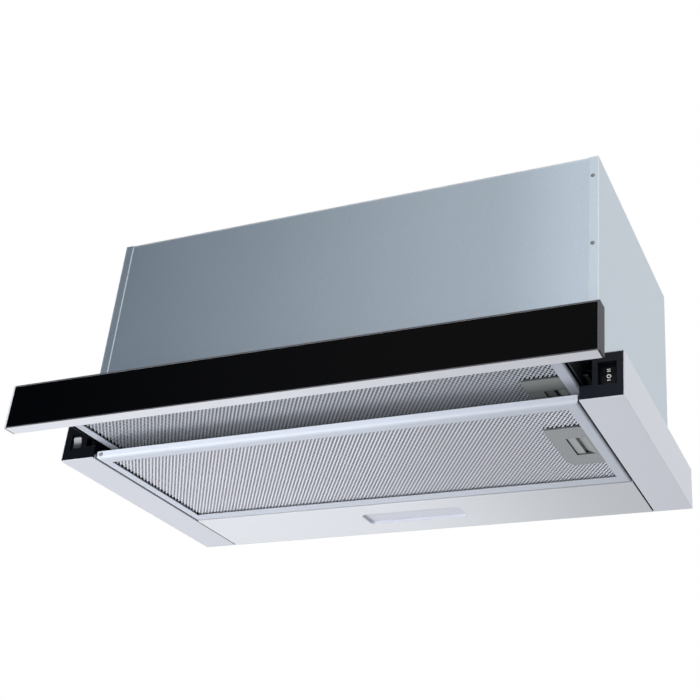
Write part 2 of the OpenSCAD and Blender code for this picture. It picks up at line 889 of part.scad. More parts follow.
// Rim of folded aluminium with two hook tabs on the left and the tongue's slot on the right
module cassette_frame() {
    inner = half_filter - filter_wall;
    open_x = half_filter - filter_border;
    difference() {
        cassette_block();
        block([-inner, filter_wall, filter_wall], [inner, filter_d - filter_wall, filter_t - filter_wall]);
        block([-open_x, front_border, -through], [open_x, filter_d - rear_border, filter_t + through]);
        block([inner - through, latch_mid - tongue_w / 2 - slack, tab_z - slack],
              [half_filter + through, latch_mid + tongue_w / 2 + slack, tab_z + tongue_t + slack]);
    }
    for (y = tab_places)
        block([-half_filter - tab_reach, y - tab_w / 2, tab_z], [-inner, y + tab_w / 2, tab_z + tab_t]);
}

// Three layers of expanded metal held by the rim, with the latch's place cut out
module cassette_mesh() {
    inner = half_filter - filter_wall;
    for (z = [filter_wall, (filter_t - mesh_t) / 2, filter_t - filter_wall - mesh_t]) difference() {
        block([-inner, filter_wall, z], [inner, filter_d - filter_wall, z + mesh_t]);
        block([latch_x - snug, latch_mid - latch_len / 2 - snug, 0],
              [inner + through, latch_mid + latch_len / 2 + snug, filter_t]);
    }
}

// Corner rivet of the folded rim, on its front face at the left
module cassette_rivets() {
    x = -half_filter + 5.2;
    z = edge_r + 1.4;
    translate([x, 0, z]) rotate([90, 0, 0]) dome_head(filter_rivet_r, rivet_h);
}

// Outline of the latch plate from its free edge, with a small front and a large rear corner
module latch_outline(w) {
    half = latch_len / 2;
    r0 = latch_front_corner;
    r1 = latch_rear_corner;
    translate([0, r0 - half]) square([w, latch_len - r0 - r1]);
    translate([r0, -half]) square([w - r0, r0]);
    translate([r1, half - r1]) square([w - r1, r1]);
    translate([r0, r0 - half]) circle(r0);
    translate([r1, half - r1]) circle(r1);
}

// Latch housing: a skin with the finger well, a sloping floor and the slider's guide behind it
module latch_plate() {
    inner = half_filter - filter_wall;
    y0 = latch_mid - latch_len / 2;
    y1 = latch_mid + latch_len / 2;
    w0 = latch_mid - well_len / 2;
    w1 = latch_mid + well_len / 2;
    face = half_filter - filter_border;
    ramp = [
        [well_end, latch_proud], [well_end, tab_z - slack],
        [bar_x + bar_w + 1, tab_z - slack], [bar_x + bar_w + 1, tab_z - 0.8]
    ];
    difference() {
        union() {
            translate([latch_x, latch_mid, latch_proud]) linear_extrude(latch_roof - latch_proud)
                latch_outline(face - latch_x);
            block([face, y0, filter_wall], [inner, y1, latch_roof]);
        }
        block([well_x, w0, -through], [well_end, w1, cavity_top]);
        block([cavity_x, w0, latch_proud + latch_skin], [well_end, w1, cavity_top]);
        block([well_end - through, latch_mid - tongue_w / 2 - slack, tab_z - slack],
              [inner + through, latch_mid + tongue_w / 2 + slack, tab_z + tongue_t + slack]);
    }
    translate([0, w1, 0]) rotate([90, 0, 0]) linear_extrude(well_len) polygon(ramp);
}

// Finger bar, plate and tongue in one piece; the bar is bored for the spring
module latch_slider() {
    w0 = latch_mid - well_len / 2 + slack;
    w1 = latch_mid + well_len / 2 - slack;
    plate_top = tab_z + tongue_t;
    bar_low = latch_proud + latch_skin + slack;
    difference() {
        union() {
            block([bar_x, w0, bar_low], [bar_x + bar_w, w1, plate_top]);
            block([bar_x, w0, tab_z], [well_end - 0.5, w1, plate_top]);
            block([bar_x, latch_mid - tongue_w / 2, tab_z],
                  [half_filter + tongue_reach, latch_mid + tongue_w / 2, plate_top]);
        }
        rod_x(spring_hole_r, bar_x - through, spring_end, latch_mid, spring_z);
    }
}

module latch_spring() {
    translate([cavity_x, latch_mid, spring_z]) rotate([0, 90, 0])
        coil(spring_r, spring_wire, spring_end - cavity_x, 7);
}

module filter_frame() {
    color("lightgray") at_lower_filter() cassette_frame();
}

module filter_mesh() {
    color("darkgray") at_lower_filter() cassette_mesh();
}

module filter_rivets() {
    color("silver") at_lower_filter() cassette_rivets();
}

module filter_latch_plate() {
    color("#9a9d9c") at_lower_filter() latch_plate();
}

module filter_latch_slider() {
    color("#a3a6a5") at_lower_filter() latch_slider();
}

module filter_latch_spring() {
    color("silver") at_lower_filter() latch_spring();
}

module drawer_filter_frame() {
    color("lightgray") at_drawer_filter() cassette_frame();
}

module drawer_filter_mesh() {
    color("darkgray") at_drawer_filter() cassette_mesh();
}

module drawer_filter_rivets() {
    color("silver") at_drawer_filter() cassette_rivets();
}

module drawer_latch_plate() {
    color("#9a9d9c") at_drawer_filter() latch_plate();
}

module drawer_latch_slider() {
    color("#a3a6a5") at_drawer_filter() latch_slider();
}

module drawer_latch_spring() {
    color("silver") at_drawer_filter() latch_spring();
}

// ---------- drawer ----------

// Extruded aluminium bar with a front recess for the glass
module drawer_handle() {
    low = handle_lift;
    high = handle_lift + handle_h;
    end = half_handle - cap_t;
    web = glass_t + 0.2;
    color("gainsboro") at_drawer() difference() {
        block([-end, 0, low], [end, handle_d, high]);
        block([-end - through, -through, low + glass_edge], [end + through, web, high - glass_edge]);
        block([-end - through, web + profile_t, low + profile_t],
              [end + through, handle_d - profile_t, high - profile_t]);
    }
}

module handle_glass() {
    end = half_handle - cap_t;
    low = handle_lift + glass_edge;
    high = handle_lift + handle_h - glass_edge;
    color("#08090b") at_drawer() block([-end, 0.2, low], [end, glass_t + 0.2, high]);
}

module end_cap(side) {
    low = handle_lift;
    high = handle_lift + handle_h;
    plug = 8;
    end = half_handle - cap_t;
    web = glass_t + 0.2 + profile_t;
    color("#74777c") at_drawer() on_side(side) {
        block([end, 0, low], [half_handle, handle_d, high]);
        block([end - plug, web + snug, low + profile_t + snug],
              [end, handle_d - profile_t - snug, high - profile_t - snug]);
    }
}

module left_end_cap() {
    end_cap(-1);
}

module right_end_cap() {
    end_cap(1);
}

// Side rail: a tall strip with a foot on the handle, a shelf for the cassette and windows for its tabs
module rail(side) {
    foot = 22;
    shelf = 5;
    rest_z = drawer_filter_lift + filter_t;
    window_z = [drawer_filter_lift + tab_z - window_gap, drawer_filter_lift + tab_z + tongue_t + window_gap];
    latch_y = drawer_filter_front + latch_mid;
    color("#6c7076") at_drawer() on_side(side) difference() {
        union() {
            block([rail_x, handle_d, rail_bottom], [rail_x + rail_t, handle_d + rail_len, rail_top]);
            block([rail_x - foot, handle_d, rail_bottom + filter_t], [rail_x, handle_d + foot_t, rail_top]);
            block([rail_x - shelf, handle_d + foot_t, rest_z],
                  [rail_x, drawer_filter_front + filter_d, rest_z + foot_t]);
        }
        if (side > 0) {
            block([rail_x - through, latch_y - tongue_w / 2 - window_gap, window_z[0]],
                  [rail_x + rail_t + through, latch_y + tongue_w / 2 + window_gap, window_z[1]]);
        } else {
            for (y = tab_places)
                block([rail_x - through, drawer_filter_front + y - tab_w / 2 - window_gap, window_z[0]],
                      [rail_x + rail_t + through, drawer_filter_front + y + tab_w / 2 + window_gap,
                       window_z[1]]);
        }
    }
}

module left_rail() {
    rail(-1);
}

module right_rail() {
    rail(1);
}

// Two nylon glides on each rail, near its rear end
module rail_glides() {
    low = runner_z + runner_t + slack;
    high = runner_z + runner_h - runner_t - slack;
    outer = runner_out - runner_t - slack;
    rear = handle_d + rail_len - 2;
    color("#e8e8e2") at_drawer()
        for (side = [-1, 1], y = [rear - glide_len, rear - 2.6 * glide_len])
            on_side(side) block([rail_x + rail_t, y, low], [outer, y + glide_len, high]);
}

module drawer_rear_bar() {
    y1 = handle_d + rail_len;
    t = rear_bar_t;
    color("#6c7076") at_drawer() difference() {
        block([-rail_x, y1 - rear_bar_d, rear_bar_z], [rail_x, y1, rail_top]);
        block([-rail_x + t, y1 - rear_bar_d - through, rear_bar_z + t], [rail_x - t, y1 - t, rail_top - t]);
    }
}

// Two screws through each rail's foot into the handle
module handle_screws() {
    from_edge = 3;
    from_rail = 14;
    color("silver") at_drawer()
        for (sx = [-1, 1], z = [rail_bottom + filter_t + from_edge, rail_top - from_edge])
            translate([sx * (rail_x - from_rail), handle_d + foot_t, z])
                rotate([-90, 0, 0]) dome_head(2.4, 1.6);
}

// ---------- drawing ----------

front_panel();
left_side_panel();
right_side_panel();
back_panel();
top_panel();
left_base_channel();
right_base_channel();
lamp_panel();
left_front_cover();
right_front_cover();
lamp_lens();
lamp_module();
left_runner();
right_runner();
runner_brackets();
blower_casing_left();
blower_casing_right();
motor_bracket();
motor();
impeller();
impeller_shaft();
outlet_plate();
outlet_collar();
flap_seat();
front_flap();
rear_flap();
cable_gland();
terminal_box();
run_capacitor();
speed_switch_body();
speed_rocker();
lamp_switch_body();
lamp_rocker();
drawer_switch();
switch_lever();
housing_screws();
collar_screws();
filter_frame();
filter_mesh();
filter_rivets();
filter_latch_plate();
filter_latch_slider();
filter_latch_spring();
drawer_handle();
handle_glass();
left_end_cap();
right_end_cap();
handle_screws();
left_rail();
right_rail();
rail_glides();
drawer_rear_bar();
drawer_filter_frame();
drawer_filter_mesh();
drawer_filter_rivets();
drawer_latch_plate();
drawer_latch_slider();
drawer_latch_spring();
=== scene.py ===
# %% [markdown]
# A telescopic range hood hangs under a kitchen cabinet. Its drawer slides out over the hob,
# and two flat grease filters cover its underside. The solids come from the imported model, so
# this lesson adds what the solids lack: finishes, the woven look of the filters, and light.

# %% Load the frame
import math

import bpy
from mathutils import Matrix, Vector


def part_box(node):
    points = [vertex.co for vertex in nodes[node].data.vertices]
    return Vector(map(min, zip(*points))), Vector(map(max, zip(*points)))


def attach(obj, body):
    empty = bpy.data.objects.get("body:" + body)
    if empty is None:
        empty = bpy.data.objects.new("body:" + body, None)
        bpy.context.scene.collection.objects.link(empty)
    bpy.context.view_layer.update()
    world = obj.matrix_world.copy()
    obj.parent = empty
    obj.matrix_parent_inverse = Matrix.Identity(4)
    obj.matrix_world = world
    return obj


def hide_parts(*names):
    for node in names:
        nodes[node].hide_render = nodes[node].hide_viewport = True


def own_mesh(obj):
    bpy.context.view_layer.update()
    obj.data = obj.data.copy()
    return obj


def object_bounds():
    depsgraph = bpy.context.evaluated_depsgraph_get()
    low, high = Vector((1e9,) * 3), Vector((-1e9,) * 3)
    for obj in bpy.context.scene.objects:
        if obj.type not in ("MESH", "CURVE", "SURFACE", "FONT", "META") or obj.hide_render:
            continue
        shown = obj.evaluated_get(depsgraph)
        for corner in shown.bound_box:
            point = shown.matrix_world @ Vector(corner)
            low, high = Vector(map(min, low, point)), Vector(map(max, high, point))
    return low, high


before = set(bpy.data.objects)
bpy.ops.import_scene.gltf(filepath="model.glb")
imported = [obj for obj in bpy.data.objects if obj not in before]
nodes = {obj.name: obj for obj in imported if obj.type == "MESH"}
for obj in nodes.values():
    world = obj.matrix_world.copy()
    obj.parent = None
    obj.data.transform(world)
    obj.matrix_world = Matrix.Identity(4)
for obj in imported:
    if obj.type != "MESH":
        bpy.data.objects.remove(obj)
cad_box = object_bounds()

# %% [markdown]
# A hood is seen from below, by someone who stands at the hob. So the camera looks up, from
# the right and a little over a metre away. A long lens keeps the edges nearly parallel. The
# shift slides the picture sideways without turning the camera, so upright edges don't tip.

# %% Camera
CAMERA_PLACE = (0.52805, -0.99265, -0.44912)
CAMERA_TURN = (116.7184, -3.5018, 22.3951)
LENS_MM = 60.853
SENSOR_MM = 36
SHIFT = (-0.1305, 0.0357)

camera_data = bpy.data.cameras.new("studio_camera")
camera_data.lens = LENS_MM
camera_data.sensor_width = SENSOR_MM
camera_data.shift_x, camera_data.shift_y = SHIFT
camera = bpy.data.objects.new("studio_camera", camera_data)
camera.location = CAMERA_PLACE
camera.rotation_euler = [math.radians(angle) for angle in CAMERA_TURN]
bpy.context.scene.collection.objects.link(camera)
bpy.context.scene.camera = camera
bpy.context.scene.view_settings.view_transform = "Standard"
print("camera at", CAMERA_PLACE, "with a lens of", LENS_MM, "mm")


# %% [markdown]
# A material or a world is a tree of nodes, and most trees here need the same few steps: some
# arithmetic, a mix of two colours, one axis of a place, and a smooth rise between two points
# of it. A small helper for each step keeps the trees short to write and easy to read.

# %% Arithmetic and mixing
def math_node(tree, operation, first, second):
    """Adds a Math node; each value is a number or an output socket."""
    node = tree.nodes.new("ShaderNodeMath")
    node.operation = operation
    for socket, value in zip(node.inputs, (first, second)):
        if isinstance(value, bpy.types.NodeSocket):
            tree.links.new(value, socket)
        else:
            socket.default_value = value
    return node.outputs[0]


def mix_colours(tree, factor, first, second, blend="MIX"):
    """Adds a colour Mix node; the factor is a socket, each colour three values or a socket."""
    node = tree.nodes.new("ShaderNodeMix")
    node.data_type = "RGBA"
    node.blend_type = blend
    tree.links.new(factor, node.inputs["Factor"])
    for label, colour in (("A", first), ("B", second)):
        if isinstance(colour, bpy.types.NodeSocket):
            tree.links.new(colour, node.inputs[label])
        else:
            node.inputs[label].default_value = (*colour, 1)
    return node.outputs["Result"]


# %% Axes and rises
def one_axis(tree, vector, axis):
    """Takes one axis, such as "X", out of a vector."""
    node = tree.nodes.new("ShaderNodeSeparateXYZ")
    tree.links.new(vector, node.inputs[0])
    return node.outputs[axis]


def smooth_rise(tree, value, start, end):
    """Gives 0 at the start and 1 at the end, with a smooth rise between them."""
    node = tree.nodes.new("ShaderNodeMapRange")
    node.interpolation_type = "SMOOTHSTEP"
    node.inputs["From Min"].default_value = start
    node.inputs["From Max"].default_value = end
    tree.links.new(value, node.inputs["Value"])
    return node.outputs["Result"]


# %% [markdown]
# Sheet metal shows whatever stands around it. A white room would make every panel equally
# bright, so the world is white where the camera and the reflections look, and dimmer where
# it only fills the shadows.

# %% World
FILL_TINT = (0.94, 0.97, 1.0)
FILL_STRENGTH = 0.34

world = bpy.data.worlds.new("white_studio")
bpy.context.scene.world = world
world.use_nodes = True
tree = world.node_tree
tree.nodes.clear()
world_out = tree.nodes.new("ShaderNodeOutputWorld")
pick = tree.nodes.new("ShaderNodeMixShader")
fill = tree.nodes.new("ShaderNodeBackground")
backdrop = tree.nodes.new("ShaderNodeBackground")
path = tree.nodes.new("ShaderNodeLightPath")
fill.inputs["Color"].default_value = (*FILL_TINT, 1)
fill.inputs["Strength"].default_value = FILL_STRENGTH
backdrop.inputs["Color"].default_value = (1, 1, 1, 1)
backdrop.inputs["Strength"].default_value = 1.0
seen = math_node(tree, "MAXIMUM", path.outputs["Is Camera Ray"], path.outputs["Is Glossy Ray"])
seen = math_node(tree, "MAXIMUM", seen, path.outputs["Is Transmission Ray"])
tree.links.new(seen, pick.inputs["Fac"])
tree.links.new(fill.outputs[0], pick.inputs[1])
tree.links.new(backdrop.outputs[0], pick.inputs[2])
tree.links.new(pick.outputs[0], world_out.inputs["Surface"])
print("world fill", FILL_STRENGTH)

# %% [markdown]
# Large soft lamps then give each side its own tone. The low ones light the underside from
# the front left, and the others light the top and the sides. Reflections don't meet the
# lamps, because satin steel would show each one as a burnt-out patch.

# %% Lamps
MIDDLE = (0, 0, 0.13)
LAMPS = (  # name, place, what it faces, size in metres, watts
    ("lamp_low_front", (-0.75, -1.35, -0.55), (0, -0.05, 0), 0.8, 19.5),
    ("lamp_below", (-0.85, 0.15, -0.75), (0, 0.05, 0), 0.7, 2.4),
    ("lamp_below_near", (-0.15, 0.25, -0.5), (-0.08, 0.15, 0), 0.35, 0.6),
    ("lamp_slot", (-0.1, -1.2, -0.5), (0, -0.09, 0.018), 0.4, 4),
    ("lamp_right", (1.45, -0.4, 1.0), MIDDLE, 0.6, 8),
    ("lamp_side", (1.7, 0.1, 0.2), MIDDLE, 1.0, 6),
    ("lamp_top", (-0.2, 0.3, 1.7), MIDDLE, 1.6, 8),
    ("lamp_left", (-1.8, 0.3, 0.4), MIDDLE, 1.6, 3.5),
)


def facing_turn(place, target):
    """Gives the rotation that turns an object's -Z axis from its place to a target."""
    return (Vector(target) - Vector(place)).to_track_quat("-Z", "Y").to_euler()


for name, place, target, size, watts in LAMPS:
    lamp_data = bpy.data.lights.new(name, "AREA")
    lamp_data.shape = "SQUARE"
    lamp_data.size = size
    lamp_data.energy = watts
    lamp = bpy.data.objects.new(name, lamp_data)
    lamp.location = place
    lamp.rotation_euler = facing_turn(place, target)
    lamp.visible_camera = lamp.visible_glossy = False
    bpy.context.scene.collection.objects.link(lamp)
    print(name, watts, "W")


# %% [markdown]
# Black glass shows whatever stands in front of it, and satin steel shows a blur of it. So
# a graded card stands high at the front left, dark at one end and pale at the other. Only
# reflections meet it: it lights nothing, and it hides nothing from the camera.

# %% Flat square helper
def flat_square(name, half, level=0.0):
    """Adds a flat square object, `half` metres to each side of the origin, on one level."""
    mesh = bpy.data.meshes.new(name)
    mesh.from_pydata([(-half, -half, level), (half, -half, level), (half, half, level),
                      (-half, half, level)], [], [(0, 1, 2, 3)])
    square = bpy.data.objects.new(name, mesh)
    bpy.context.scene.collection.objects.link(square)
    return square


# %% Studio card
CARD_PLACE = (-1.09, -1.56, 1.1)
CARD_HALF = 1.25
CARD_DARK = (0.022, 0.075, 0.115)
CARD_PALE = (0.97, 0.98, 1.0)
CARD_RISE = (-0.5, 0.62)  # where dark ends and pale begins, in parts of CARD_HALF

card = flat_square("studio_card", CARD_HALF)
card.location = CARD_PLACE
card.rotation_euler = facing_turn(CARD_PLACE, MIDDLE)
card.visible_camera = card.visible_diffuse = card.visible_transmission = False
card.visible_volume_scatter = card.visible_shadow = False

card_finish = bpy.data.materials.new("studio_card")
card_finish.use_nodes = True
tree = card_finish.node_tree
tree.nodes.clear()
card_out = tree.nodes.new("ShaderNodeOutputMaterial")
card_glow = tree.nodes.new("ShaderNodeEmission")
card_axes = tree.nodes.new("ShaderNodeTexCoord")
rise = smooth_rise(tree, one_axis(tree, card_axes.outputs["Object"], "X"),
                   CARD_RISE[0] * CARD_HALF, CARD_RISE[1] * CARD_HALF)
tree.links.new(mix_colours(tree, rise, CARD_DARK, CARD_PALE), card_glow.inputs["Color"])
tree.links.new(card_glow.outputs[0], card_out.inputs["Surface"])
card.data.materials.append(card_finish)
print("card at", CARD_PLACE)

# %% [markdown]
# The floor lies below the lowest point that the dropped filter reaches. The camera stands
# even lower, so the floor shows its upper side only: Backfacing makes it clear from below,
# and only camera rays meet it, so it never darkens the underside of the hood. A little glow
# keeps the floor pale, and the shadow of the hood stays on it.

# %% Floor
FLOOR_DROP = 0.26
FLOOR_HALF = 6.0
FLOOR_COLOUR = (0.86, 0.87, 0.88)
FLOOR_GLOW = 0.4

floor = flat_square("floor", FLOOR_HALF, cad_box[0][2] - FLOOR_DROP)

floor_finish = bpy.data.materials.new("floor_paint")
floor_finish.use_nodes = True
tree = floor_finish.node_tree
tree.nodes.clear()
floor_out = tree.nodes.new("ShaderNodeOutputMaterial")
floor_pick = tree.nodes.new("ShaderNodeMixShader")
floor_clear = tree.nodes.new("ShaderNodeBsdfTransparent")
floor_white = tree.nodes.new("ShaderNodeBsdfDiffuse")
floor_glow = tree.nodes.new("ShaderNodeEmission")
floor_sum = tree.nodes.new("ShaderNodeAddShader")
path = tree.nodes.new("ShaderNodeLightPath")
geometry = tree.nodes.new("ShaderNodeNewGeometry")
floor_white.inputs["Color"].default_value = (*FLOOR_COLOUR, 1)
floor_glow.inputs["Strength"].default_value = FLOOR_GLOW
upper_side = math_node(tree, "SUBTRACT", 1.0, geometry.outputs["Backfacing"])
shown = math_node(tree, "MULTIPLY", path.outputs["Is Camera Ray"], upper_side)
tree.links.new(shown, floor_pick.inputs["Fac"])
tree.links.new(floor_clear.outputs[0], floor_pick.inputs[1])
tree.links.new(floor_white.outputs[0], floor_sum.inputs[0])
tree.links.new(floor_glow.outputs[0], floor_sum.inputs[1])
tree.links.new(floor_sum.outputs[0], floor_pick.inputs[2])
tree.links.new(floor_pick.outputs[0], floor_out.inputs["Surface"])
floor.data.materials.append(floor_finish)
print("floor", FLOOR_DROP, "m below the hood")


# %% [markdown]
# Most finishes here share three effects. Grain is the fine speckle or the drawn lines of a sheet.
# Clouds are the slow changes of tone where hands and rollers have been. The edge group finds folded
# edges with a Bevel node: it rounds them in the light, and its mask carries a painted highlight
# along them. Each effect is one node group, placed in each finish with its values.

# %% Group helpers
def new_group(name, inputs, outputs):
    """Starts a shader node group with named sockets, and returns it with its two end nodes."""
    group = bpy.data.node_groups.new(name, "ShaderNodeTree")
    for label, kind, value in inputs:
        socket = group.interface.new_socket(label, in_out="INPUT", socket_type=kind)
        socket.default_value = value
    for label, kind in outputs:
        group.interface.new_socket(label, in_out="OUTPUT", socket_type=kind)
    return group, group.nodes.new("NodeGroupInput"), group.nodes.new("NodeGroupOutput")


def around_half(tree, value, amount):
    """Scales how far a noise value strays from one half, which stays the middle tone."""
    centred = math_node(tree, "SUBTRACT", value, 0.5)
    return math_node(tree, "ADD", math_node(tree, "MULTIPLY", centred, amount), 0.5)


# %% Grain group
grain_group, enter, leave = new_group(
    "sheet_grain",
    [("Stretch", "NodeSocketVector", (1, 1, 1)), ("Scale", "NodeSocketFloat", 900.0),
     ("Contrast", "NodeSocketFloat", 0.5)],
    [("Tone", "NodeSocketFloat"), ("Height", "NodeSocketFloat")])
tree = grain_group
place = tree.nodes.new("ShaderNodeTexCoord")
stretch = tree.nodes.new("ShaderNodeVectorMath")
stretch.operation = "MULTIPLY"
noise = tree.nodes.new("ShaderNodeTexNoise")
noise.inputs["Detail"].default_value = 4
noise.inputs["Roughness"].default_value = 0.62
tree.links.new(place.outputs["Object"], stretch.inputs[0])
tree.links.new(enter.outputs["Stretch"], stretch.inputs[1])
tree.links.new(stretch.outputs[0], noise.inputs["Vector"])
tree.links.new(enter.outputs["Scale"], noise.inputs["Scale"])
tone = around_half(tree, noise.outputs["Fac"], enter.outputs["Contrast"])
tree.links.new(tone, leave.inputs["Tone"])
tree.links.new(noise.outputs["Fac"], leave.inputs["Height"])
print(grain_group.name, "group with", len(grain_group.nodes), "nodes")

# %% Cloud group
cloud_group, enter, leave = new_group(
    "slow_clouds",
    [("Scale", "NodeSocketFloat", 6.0), ("Amount", "NodeSocketFloat", 0.3)],
    [("Tone", "NodeSocketFloat")])
tree = cloud_group
place = tree.nodes.new("ShaderNodeTexCoord")
noise = tree.nodes.new("ShaderNodeTexNoise")
noise.inputs["Detail"].default_value = 2
noise.inputs["Distortion"].default_value = 0.4
tree.links.new(place.outputs["Object"], noise.inputs["Vector"])
tree.links.new(enter.outputs["Scale"], noise.inputs["Scale"])
tone = around_half(tree, noise.outputs["Fac"], enter.outputs["Amount"])
tree.links.new(tone, leave.inputs["Tone"])
print(cloud_group.name, "group with", len(cloud_group.nodes), "nodes")

# %% Edge group
edge_group, enter, leave = new_group(
    "folded_edge",
    [("Radius", "NodeSocketFloat", 0.0008), ("Strength", "NodeSocketFloat", 1.0)],
    [("Normal", "NodeSocketVector"), ("Edge", "NodeSocketFloat")])
tree = edge_group
bevel = tree.nodes.new("ShaderNodeBevel")
bevel.samples = 6
geometry = tree.nodes.new("ShaderNodeNewGeometry")
likeness = tree.nodes.new("ShaderNodeVectorMath")
likeness.operation = "DOT_PRODUCT"
tree.links.new(enter.outputs["Radius"], bevel.inputs["Radius"])
tree.links.new(bevel.outputs["Normal"], likeness.inputs[0])
tree.links.new(geometry.outputs["Normal"], likeness.inputs[1])
turned = math_node(tree, "SUBTRACT", 1.0, likeness.outputs["Value"])
edge = math_node(tree, "MULTIPLY", turned, enter.outputs["Strength"])
tree.links.new(bevel.outputs["Normal"], leave.inputs["Normal"])
tree.links.new(edge, leave.inputs["Edge"])
print(edge_group.name, "group with", len(edge_group.nodes), "nodes")


# %% [markdown]
# One function builds every finish from the same plan: a base colour that the grain and the clouds
# darken or lighten, a painted highlight on folded edges, a roughness that the clouds vary, and a
# bump from the grain. Uniform values go straight onto the shader's own sockets.

# %% Colour and group placing
def linear(red, green, blue):
    """Turns a colour of 0 to 255 values into the linear values that shaders use."""
    return tuple((v / 255 / 12.92) if v < 11 else ((v / 255 + 0.055) / 1.055) ** 2.4
                 for v in (red, green, blue))


def place_group(tree, group, **values):
    """Places a node group and sets its inputs by their names."""
    node = tree.nodes.new("ShaderNodeGroup")
    node.node_tree = group
    for label, value in values.items():
        node.inputs[label].default_value = value
    return node


# %% [markdown]
# On some pieces the faces that look one way get another colour, mostly painted light or shade: the
# front lips of the filters and the front faces of the caps are painted paler, as painted light from
# the front, the deeper mesh layers are painted dark below as painted shade and pale on top, and the
# front rim of the handle is dark while its underside is pale. The face's own normal tells which
# faces those are, so no mesh has to be cut, and no second material is needed.

# %% Colour by facing
FACING_LIMIT = 0.7  # how squarely a face must look along the axis, where 1 is exactly


def colour_facing(tree, colour, axis, sign, facing_colour):
    """Gives the faces that look along an axis, or against it, another colour, such as painted light
    or shade.
    """
    geometry = tree.nodes.new("ShaderNodeNewGeometry")
    toward = math_node(tree, "MULTIPLY", one_axis(tree, geometry.outputs["Normal"], axis), sign)
    squarely = math_node(tree, "GREATER_THAN", toward, FACING_LIMIT)
    return mix_colours(tree, squarely, colour, linear(*facing_colour))


# %% Roughness and bump
EDGE_POLISH = 0.4  # how much smoother a rubbed edge is
BUMP_HEIGHT = 0.001


def vary_roughness(tree, socket, roughness, reach, clouds, edge_mask):
    """Lets the clouds vary the roughness by `reach`, and the folded edges lower it."""
    spread = math_node(tree, "SUBTRACT", clouds, 0.5)
    spread = math_node(tree, "MULTIPLY", spread, 2 * reach)
    spread = math_node(tree, "ADD", spread, roughness)
    rubbed = math_node(tree, "MULTIPLY", edge_mask, EDGE_POLISH * roughness)
    tree.links.new(math_node(tree, "SUBTRACT", spread, rubbed), socket)


def add_bump(tree, socket, strength, height, normal):
    """Raises a fine relief from a height on top of a normal."""
    bump_node = tree.nodes.new("ShaderNodeBump")
    bump_node.inputs["Strength"].default_value = strength
    bump_node.inputs["Distance"].default_value = BUMP_HEIGHT
    tree.links.new(height, bump_node.inputs["Height"])
    tree.links.new(normal, bump_node.inputs["Normal"])
    tree.links.new(bump_node.outputs["Normal"], socket)


# %% Finish builder
EVEN = (1, 1, 1)  # a grain that is stretched along no axis
DARKEST, LIGHTEST = 0.62, 1.38
EDGE_HIGHLIGHT_LIFT = 1.25


def new_finish(name, colour, roughness, metallic=0.0, grain=(900, EVEN, 0.25), bump=0.02,
               clouds=(6, 0.3), rough_range=0.1, edge=(0.0008, 0.6), edge_highlight_colour=None,
               specular=0.5, facing=None):
    """Builds a Principled finish with a painted highlight on folded edges; `facing` gives faces
    that look one way another colour, mostly painted light or shade.
    """
    finish = bpy.data.materials.new(name)
    finish.use_nodes = True
    tree = finish.node_tree
    shader = tree.nodes["Principled BSDF"]
    shader.inputs["Metallic"].default_value = metallic
    shader.inputs["Specular IOR Level"].default_value = specular
    grain_node = place_group(tree, grain_group, Scale=grain[0], Stretch=grain[1], Contrast=grain[2])
    cloud_node = place_group(tree, cloud_group, Scale=clouds[0], Amount=clouds[1])
    edge_node = place_group(tree, edge_group, Radius=edge[0], Strength=edge[1])
    edge_mask = math_node(tree, "MINIMUM", edge_node.outputs["Edge"], 1.0)

    base = linear(*colour)
    # Painted highlight on folded edges: the given colour, or the base colour lifted.
    bright = linear(*edge_highlight_colour) if edge_highlight_colour else [min(1.0, EDGE_HIGHLIGHT_LIFT * v) for v in base]
    tone = math_node(tree, "ADD", grain_node.outputs["Tone"], cloud_node.outputs["Tone"])
    shown = mix_colours(tree, math_node(tree, "MULTIPLY", tone, 0.5),
                        [DARKEST * v for v in base], [LIGHTEST * v for v in base])
    shown = mix_colours(tree, edge_mask, shown, bright)
    if facing:
        shown = colour_facing(tree, shown, *facing)
    tree.links.new(shown, shader.inputs["Base Color"])

    vary_roughness(tree, shader.inputs["Roughness"], roughness, rough_range,
                   cloud_node.outputs["Tone"], edge_mask)
    add_bump(tree, shader.inputs["Normal"], bump, grain_node.outputs["Height"],
             edge_node.outputs["Normal"])
    return finish


# %% Dressing
def dress(finish, *names):
    """Gives a finish to CAD nodes by their names."""
    for name in names:
        for slot in nodes[name].material_slots:
            slot.material = finish
    print(finish.name, "on", len(names))


# %% [markdown]
# Light falls off along a wide hood and dies away in its narrow gaps. Lamps alone would need
# a separate one for each strip, so a part of that is painted: one helper fades a finish
# along the piece's own box, and the other darkens it where another surface stands close.
# Both belong to the piece, not to the view, and the fades are weak enough for other light.

# %% Fade along a piece
def fade_along(finish, axis, start, end, times):
    """Multiplies a finish's colour along an axis of the piece's own box, up to `times`."""
    tree = finish.node_tree
    base_color = tree.nodes["Principled BSDF"].inputs["Base Color"]
    colour = base_color.links[0].from_socket
    place = tree.nodes.new("ShaderNodeTexCoord")
    rise = smooth_rise(tree, one_axis(tree, place.outputs["Generated"], axis), start, end)
    faded = mix_colours(tree, rise, colour, (times, times, times), "MULTIPLY")
    tree.links.new(faded, base_color)


# %% Shade in gaps
GAP_TONE = (22, 26, 34)
GAP_OPEN = 0.45  # the share of open air at which the shade is full
GAP_REACH = 0.3  # how much more of it clears the shade


